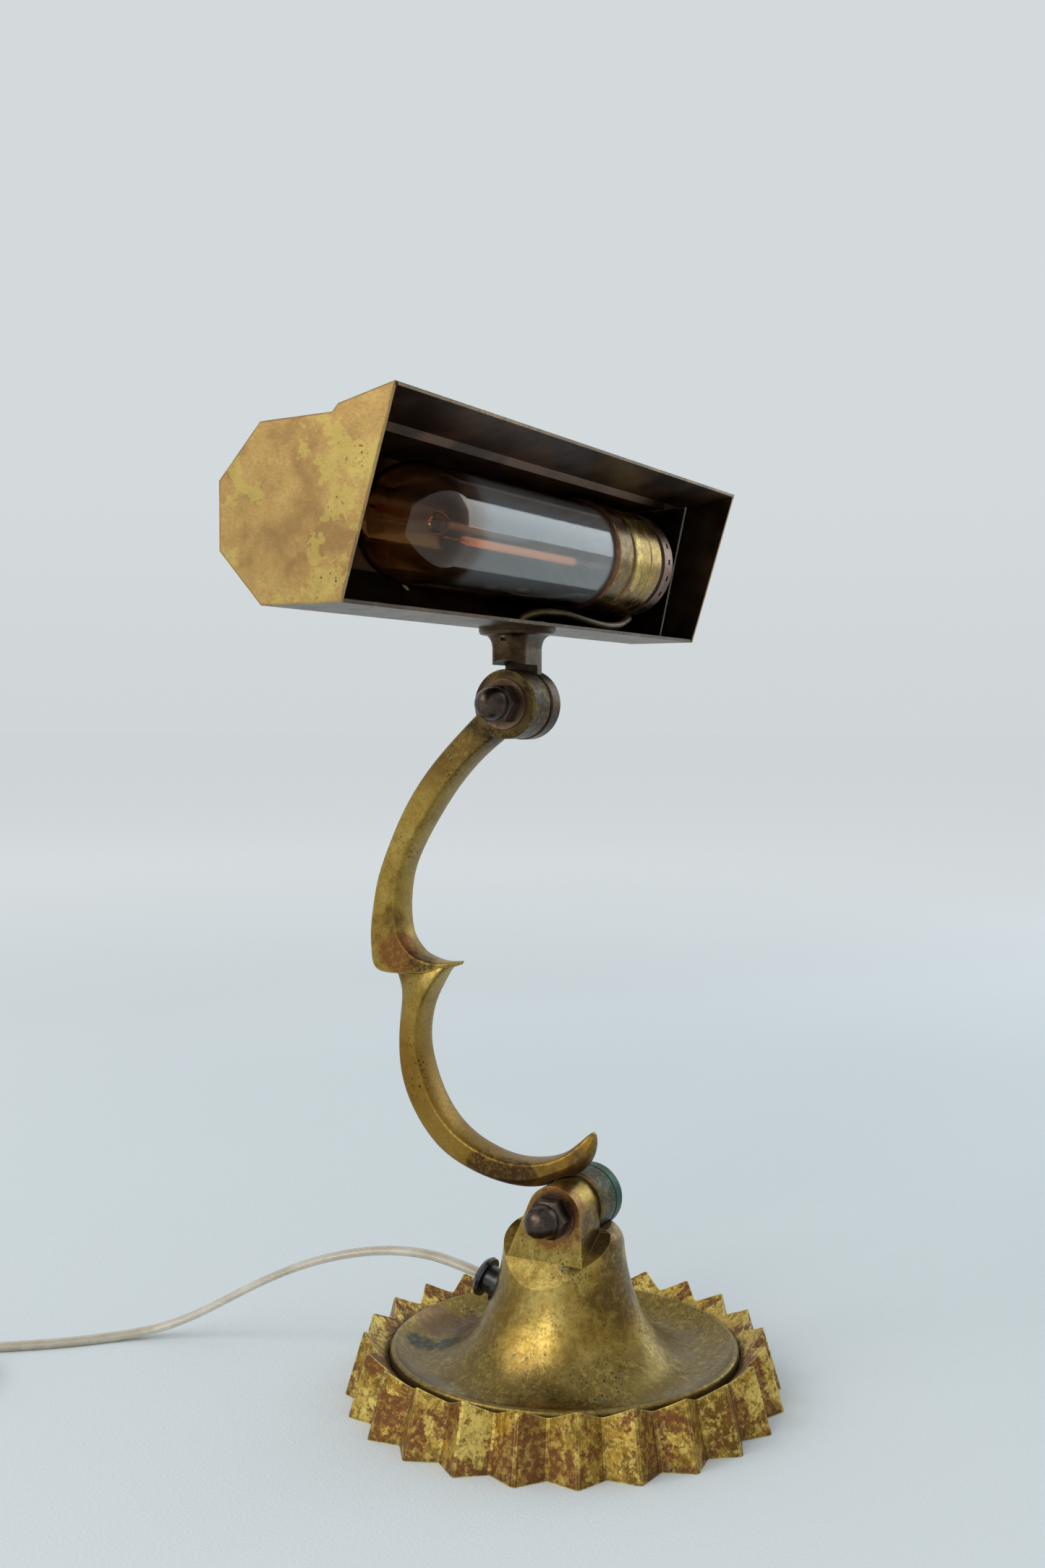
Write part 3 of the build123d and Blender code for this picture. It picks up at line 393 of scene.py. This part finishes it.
def moulded(name, tint, rough, coat=0.0, grain=0.0011, depth=0.00003):
    """Moulded plastic, rubber, fibre or glaze: slight cloudiness and a fine surface texture."""
    p = Paint(name)
    cloud, fine = p.noise(0.009, 4, 0.6), p.noise(grain, 3)
    colour = p.mix(p.span(cloud, 0.35, 0.7), times(tint, 0.75), times(tint, 1.25))
    p.bump(fine, depth)
    return p.set(Base_Color=colour, Roughness=p.span(cloud, 0.3, 0.7, rough, rough + 0.12),
                 Coat_Weight=coat, Coat_Roughness=0.12)


paint("cord_grommet", moulded("black_rubber", (0.012, 0.012, 0.013), 0.22, coat=0.4))
paint("cord_clamp", moulded("clamp_fibre", (0.16, 0.06, 0.035), 0.55))
paint("plug_body", moulded("plug_plastic", (0.055, 0.026, 0.014), 0.26, coat=0.5))
paint("lampholder_body", moulded("porcelain", (0.70, 0.66, 0.58), 0.14, coat=0.6))
paint("bulb_cap_insulator", moulded("cap_insulator", (0.02, 0.02, 0.025), 0.12, coat=0.5))
paint("ballast_disc", moulded("cast_iron", (0.05, 0.05, 0.05), 0.55, grain=0.0016, depth=0.0003))


def felt():
    """Dark green felt."""
    p = Paint("felt")
    fibre = p.noise(0.0007, 6, 0.75)
    colour = p.mix(p.span(fibre, 0.35, 0.65), (0.012, 0.030, 0.016), (0.045, 0.085, 0.050))
    p.bump(fibre, 0.0004)
    return p.set(Base_Color=colour, Roughness=0.95, Sheen_Weight=0.4)


def braid():
    """Old cloth braid on the leads."""
    p = Paint("lead_insulation")
    weave = p.cells(0.0009)
    colour = p.mix(p.span(weave, 0.2, 0.6), (0.30, 0.23, 0.12), (0.11, 0.08, 0.04))
    p.bump(weave, 0.0001)
    return p.set(Base_Color=colour, Roughness=0.8)


# Along the shade, as an x: where the pale painted reflection on the bulb begins and is full, and
# where the dome's painted amber reflection of the brass ends and the glass is clear.
REFLECTION_START, REFLECTION_FULL = -0.057, -0.046
AMBER_REFLECTION_END, CLEAR_START = -0.065, -0.045


def bulb_glass():
    """Clear glass with a painted amber reflection of the brass on its dome, and a pale painted
    reflection of the room, laid on as a film, on the side that faces out.
    """
    p = Paint("amber_glass")
    cloud = p.noise(0.020, 4, 0.6)
    # The pale film is a painted reflection of the room, on the glass that faces out of the shade.
    inward = p.vector("DOT_PRODUCT", p.normal, (0, 1, 0.12))
    front = p.span(p.calc("MULTIPLY", inward, -1.0), 0.30, 0.62)
    along = p.calc("ADD", p.axis("X"), p.calc("MULTIPLY", cloud, 0.006))
    past = p.span(along, REFLECTION_START, REFLECTION_FULL)
    painted_reflection = p.calc("MULTIPLY", p.calc("MULTIPLY", front, past), p.span(cloud, 0.2, 0.8, 0.8, 1.0))
    # The dome's amber is a painted reflection of the brass shade round it; the glass itself is
    # clear.
    clear = p.mix(p.span(p.axis("X"), AMBER_REFLECTION_END, CLEAR_START),
                  (0.45, 0.22, 0.08), (0.90, 0.80, 0.66))
    return p.set(Base_Color=p.mix(painted_reflection, clear, (0.70, 0.76, 0.80)), IOR=1.46,
                 Roughness=p.span(painted_reflection, 0, 1, 0.015, 0.08),
                 Transmission_Weight=p.span(painted_reflection, 0, 1, 1.0, 0.90))


def stem_glass():
    """Plain glass, slightly cloudy."""
    p = Paint("stem_glass")
    cloud = p.noise(0.006, 3)
    return p.set(Base_Color=p.mix(p.span(cloud, 0.3, 0.7), (0.90, 0.90, 0.86), (0.97, 0.97, 0.95)),
                 Roughness=p.span(cloud, 0.3, 0.7, 0.02, 0.08), Transmission_Weight=1.0, IOR=1.5)


def filament():
    """Coiled wire with a faint pinkish glow."""
    p = Paint("filament")
    coil = p.add("ShaderNodeTexWave", {"Vector": p.place, "Scale": 420.0}, bands_direction="X")
    colour = p.mix(coil.outputs[0], (0.62, 0.24, 0.10), (0.95, 0.52, 0.30))
    p.bump(coil.outputs[0], 0.0003)
    return p.set(Base_Color=colour, Roughness=0.5, Emission_Color=(0.9, 0.35, 0.15),
                 Emission_Strength=0.45)


paint("felt_pad", felt())
paint("base_lead arm_lead head_lead", braid())
paint("bulb_glass", bulb_glass())
paint("bulb_stem", stem_glass())
paint("bulb_filament", filament())
paint("bulb_wires", steel("bulb_wire", (0.50, 0.26, 0.15), 0.3, 3))


# ---------------------------------------------------------------- cord

CORD_WIDTH, CORD_THICKNESS, CORD_LENGTH = 5.3 * MM, 2.8 * MM, 1.83
LEVEL = 3.0 * MM
CONDUCTOR_RADIUS = 0.72 * MM
WAIST_DEPTH, WAIST_WIDTH = 0.42, 0.55  # the groove between the lobes, in lobe radii
COIL_CENTRE, COIL_START, COIL_STEPS = Vector((-0.1215, 0.2205)), math.radians(36.4), 12
COIL_TURNS_MM = (  # each turn's radius, and the level it lies on
    (35, 0), (29.5, 0), (24, 0), (24, 1), (29.5, 1), (35, 1), (29.5, 2), (35, 2))
CROSSING = 0.25  # the part of a turn in which it moves over to the next one
LEAD_MM = [
    (0, 33.2, 37.1), (-1.2, 45, 40.6), (-3.2, 59, 42.8), (-6, 74, 42.2), (-9, 90, 39),
    (-12, 106, 33.6), (-15, 122, 26), (-18.4, 137, 17.4), (-22.6, 151, 9.2),
    (-28.5, 164.5, 3.4), (-38.5, 176.5, 1.6), (-52, 188.5, 1.6), (-66, 205, 1.6),
    (-79.5, 225, 1.6),
]
TAIL_MM = [(-134, 255.6, 2.9), (-148, 256.4, 4.4), (-160, 257, 6.0), (-170, 257, 6.6)]


def coil_points():
    """Turns side by side, then a level up; each moves over at its end.

    The points lie a little outside the turns, because the spline cuts its corners."""
    points = []
    swell = 1 / (0.75 + 0.25 * math.cos(2 * math.pi / COIL_STEPS))
    lift = CORD_THICKNESS / 2 + 0.2 * MM
    turns = COIL_TURNS_MM + COIL_TURNS_MM[-1:]
    for k in range(COIL_STEPS * len(COIL_TURNS_MM) + 2):
        turn, part = divmod(k, COIL_STEPS)
        move = max(0.0, (part / COIL_STEPS - (1 - CROSSING)) / CROSSING)
        following = turns[min(turn + 1, len(COIL_TURNS_MM))]
        radius, level = [a + (b - a) * move for a, b in zip(turns[turn], following)]
        angle = COIL_START + 2 * math.pi * k / COIL_STEPS
        reach = radius * MM * swell
        points.append(Vector((COIL_CENTRE.x + reach * math.cos(angle),
                              COIL_CENTRE.y + reach * math.sin(angle), lift + level * LEVEL)))
    return points


def smooth_line(name, points):
    """The points of a smooth spline drawn through the route."""
    curve = bpy.data.curves.new(name, "CURVE")
    curve.dimensions = "3D"
    spline = curve.splines.new("NURBS")
    spline.points.add(len(points) - 1)
    for point, place in zip(spline.points, points):
        point.co = (*place, 1)
    spline.order_u = 3
    spline.use_endpoint_u = True
    spline.resolution_u = 6
    obj = bpy.data.objects.new(name, curve)
    bpy.context.scene.collection.objects.link(obj)
    mesh = bpy.data.meshes.new_from_object(obj)
    line = [v.co.copy() for v in mesh.vertices]
    bpy.data.objects.remove(obj)
    return line


def swept(name, line, outline, offset=0.0):
    """Tube along a line. The outline is (across, up); across stays level with the floor."""
    rows, uvs, run = [], [], 0.0
    for k, place in enumerate(line):
        ahead = line[min(k + 1, len(line) - 1)] - line[max(k - 1, 0)]
        ahead.normalize()
        across = ahead.cross(Vector((0, 0, 1))).normalized()
        up = across.cross(ahead)
        rows.append([place + across * (u + offset) + up * v for u, v in outline])
        run += (place - line[k - 1]).length if k else 0
        uvs.append(run)
    count = len(outline)
    vertices = [v for row in rows for v in row]
    faces, corners = [], []
    for k in range(len(rows) - 1):
        for j in range(count):
            beside, low, high = (j + 1) % count, k * count, (k + 1) * count
            faces.append((low + j, low + beside, high + beside, high + j))
            corners += [(j / count, uvs[k]), ((j + 1) / count, uvs[k]),
                        ((j + 1) / count, uvs[k + 1]), (j / count, uvs[k + 1])]
    for cap in (list(range(count))[::-1], [len(vertices) - count + j for j in range(count)]):
        faces.append(tuple(cap))
        corners += [(0, 0)] * count
    mesh = bpy.data.meshes.new(name)
    mesh.from_pydata([tuple(v) for v in vertices], [], faces)
    layer = mesh.uv_layers.new(name="along")
    for loop, uv in zip(layer.data, corners):
        loop.uv = uv
    mesh.polygons.foreach_set("use_smooth", [True] * len(mesh.polygons))
    mesh.update()
    obj = bpy.data.objects.new(name, mesh)
    bpy.context.scene.collection.objects.link(obj)
    return obj


def twin_outline(width, thickness, sides=28):
    """Two round lobes joined by a thinner web."""
    lobe = thickness / 2
    shift = width / 2 - lobe
    points = []
    for k in range(sides):
        angle = 2 * math.pi * k / sides
        u, v = math.cos(angle), math.sin(angle)
        side = 1 if u >= 0 else -1
        across = side * shift + lobe * u if abs(u) > 1e-6 else 0.0
        waist = 1 - WAIST_DEPTH * math.exp(-((across / (WAIST_WIDTH * lobe)) ** 2))
        points.append((across, lobe * v * waist))
    return points


def circle_outline(radius, sides=12):
    return [(radius * math.cos(2 * math.pi * k / sides), radius * math.sin(2 * math.pi * k / sides))
            for k in range(sides)]


def strands(name, bright, dull):
    """Twisted bare strands: fine slanted lines along the run."""
    lines_around, lines_per_metre = 9.0, 420.0
    p = Paint(name)
    uv = p.add("ShaderNodeSeparateXYZ", {0: p.uv})
    slant = p.calc("ADD", p.calc("MULTIPLY", uv.outputs[0], lines_around),
                  p.calc("MULTIPLY", uv.outputs[1], lines_per_metre))
    wave = p.calc("ABSOLUTE", p.calc("SINE", p.calc("MULTIPLY", slant, math.pi)))
    colour = p.mix(p.span(wave, 0.1, 0.8), dull, bright)
    p.bump(wave, 0.0001)
    return p.set(Base_Color=colour, Metallic=0.9, Roughness=p.span(wave, 0, 1, 0.45, 0.25))


def sheath():
    """Clear soft sheath, a little yellowed and dusty."""
    p = Paint("clear_cord")
    cloud, fine = p.noise(0.02, 4, 0.6), p.noise(0.0012, 3)
    colour = p.mix(p.span(cloud, 0.35, 0.7), (0.62, 0.55, 0.40), (0.80, 0.76, 0.64))
    p.bump(fine, 0.00003)
    return p.set(Base_Color=colour, Roughness=p.span(cloud, 0.3, 0.7, 0.16, 0.30),
                 Alpha=p.span(cloud, 0.3, 0.7, 0.50, 0.66), Coat_Weight=0.5, Coat_Roughness=0.1)


cord_line = smooth_line("route", [Vector(p) * MM for p in LEAD_MM] + coil_points()
                        + [Vector(p) * MM for p in TAIL_MM])
flex = swept("flex", cord_line, twin_outline(CORD_WIDTH, CORD_THICKNESS))
flex.data.materials.append(sheath())
conductors = []
for name, side, bright, dull in (
        ("copper_strands", 1, (0.72, 0.36, 0.20), (0.30, 0.12, 0.06)),
        ("tinned_strands", -1, (0.74, 0.70, 0.62), (0.34, 0.31, 0.26))):
    core = swept(name, cord_line, circle_outline(CONDUCTOR_RADIUS),
                 offset=side * (CORD_WIDTH - CORD_THICKNESS) / 2)
    core.data.materials.append(strands(name, bright, dull))
    conductors.append(core)
for piece in (flex, *conductors):
    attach(piece, "base")
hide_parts("cord_lead", "cord_coil", "cord_tail")


# ---------------------------------------------------------------- stage, lights, camera

AZIMUTH, ELEVATION = math.radians(-61.72), math.radians(2.01)
EYE, LENS, SENSOR, NEAREST = Vector((-0.5299, -0.2680, 0.2410)), 38.1, 36, 0.01

FLOOR_SIZE = 80
CLOTH_DIM, CLOTH_PALE, CLOTH_FAR = (0.675, 0.72, 0.74), (0.70, 0.745, 0.765), (0.985, 0.985, 0.985)
NEAR_REACH, FAR_REACH = 0.35, 2.6  # the cloth pales between these distances from the lamp

LIGHTS_AIM = Vector((0, 0.02, 0.17))
SOFTBOXES = (  # name, direction from the lamp, distance, width and height, watts, colour
    ("window_right", (0.88, -0.38, 0.40), 1.8, (0.6, 1.2), 3.6, (0.76, 0.90, 1.0)),
    ("window_left", (-0.70, 0.55, 0.65), 2.4, (1.2, 1.2), 15, (1.0, 0.98, 0.95)),
    ("front_fill", (-0.90, 0.02, 0.50), 2.2, (0.7, 1.1), 8, (1.0, 0.97, 0.92)))

WALL_LOW, WALL_HIGH, DIM_SIDE = (0.645, 0.688, 0.704), (0.665, 0.712, 0.732), (0.460, 0.472, 0.480)
DIM_TOWARD, WALL_RISE, ROOM_STRENGTH = (0.05, -1.0, -0.35), 0.16, 0.98


def stage():
    """A wide cloth on the floor, paler far away, where it meets the wall behind the lamp."""
    bpy.ops.mesh.primitive_plane_add(size=FLOOR_SIZE)
    floor = bpy.context.object
    floor.name = "floor"
    p = Paint("floor_cloth")
    weave = p.noise(0.0013, 2, 0.5)
    cloth = p.noise(0.6, 2, 0.4)
    away = p.vector("LENGTH", p.place, (0, 0, 0))
    near = p.mix(p.span(cloth, 0.35, 0.65), CLOTH_DIM, CLOTH_PALE)
    colour = p.mix(p.span(away, NEAR_REACH, FAR_REACH), near, CLOTH_FAR)
    p.bump(weave, 0.0002)
    floor.data.materials.append(p.set(Base_Color=colour, Roughness=0.95))


def softbox(name, toward, distance, size, power, tint):
    """A rectangular area light in a given direction from the lamp, turned to face it."""
    light = bpy.data.lights.new(name, "AREA")
    light.shape, light.size, light.size_y = "RECTANGLE", *size
    light.energy, light.color = power, tint
    obj = bpy.data.objects.new(name, light)
    bpy.context.scene.collection.objects.link(obj)
    obj.location = LIGHTS_AIM + Vector(toward).normalized() * distance
    obj.rotation_euler = (obj.location - LIGHTS_AIM).to_track_quat("Z", "Y").to_euler()


def room(tree):
    """A pale even room that is dimmer low down on the shade's open side."""
    g, sky = Graph(tree), tree.nodes["Background"]
    toward = g.add("ShaderNodeTexCoord").outputs["Generated"]
    height = g.add("ShaderNodeSeparateXYZ", {0: toward}).outputs["Z"]
    wall = g.mix(g.span(height, 0.0, WALL_RISE), WALL_LOW, WALL_HIGH)
    turned = g.vector("DOT_PRODUCT", toward, DIM_TOWARD)
    g.put(sky.inputs["Color"], g.mix(g.span(turned, 0.15, 0.85), wall, DIM_SIDE))
    g.put(sky.inputs["Strength"], ROOM_STRENGTH)


def lights_and_camera():
    world = bpy.data.worlds.new("room")
    bpy.context.scene.world = world
    world.use_nodes = True
    room(world.node_tree)
    for light in SOFTBOXES:
        softbox(*light)

    camera = bpy.data.cameras.new("camera")
    camera.lens, camera.sensor_width, camera.sensor_fit = LENS, SENSOR, "AUTO"
    camera.clip_start = NEAREST
    obj = bpy.data.objects.new("camera", camera)
    bpy.context.scene.collection.objects.link(obj)
    back = Vector((math.sin(AZIMUTH) * math.cos(ELEVATION),
                   -math.cos(AZIMUTH) * math.cos(ELEVATION), math.sin(ELEVATION)))
    right = Vector((math.cos(AZIMUTH), math.sin(AZIMUTH), 0))
    up = back.cross(right)
    obj.matrix_world = Matrix.Translation(EYE) @ Matrix((right, up, back)).transposed().to_4x4()
    bpy.context.scene.camera = obj
    bpy.context.scene.view_settings.view_transform = "Standard"


stage()
lights_and_camera()
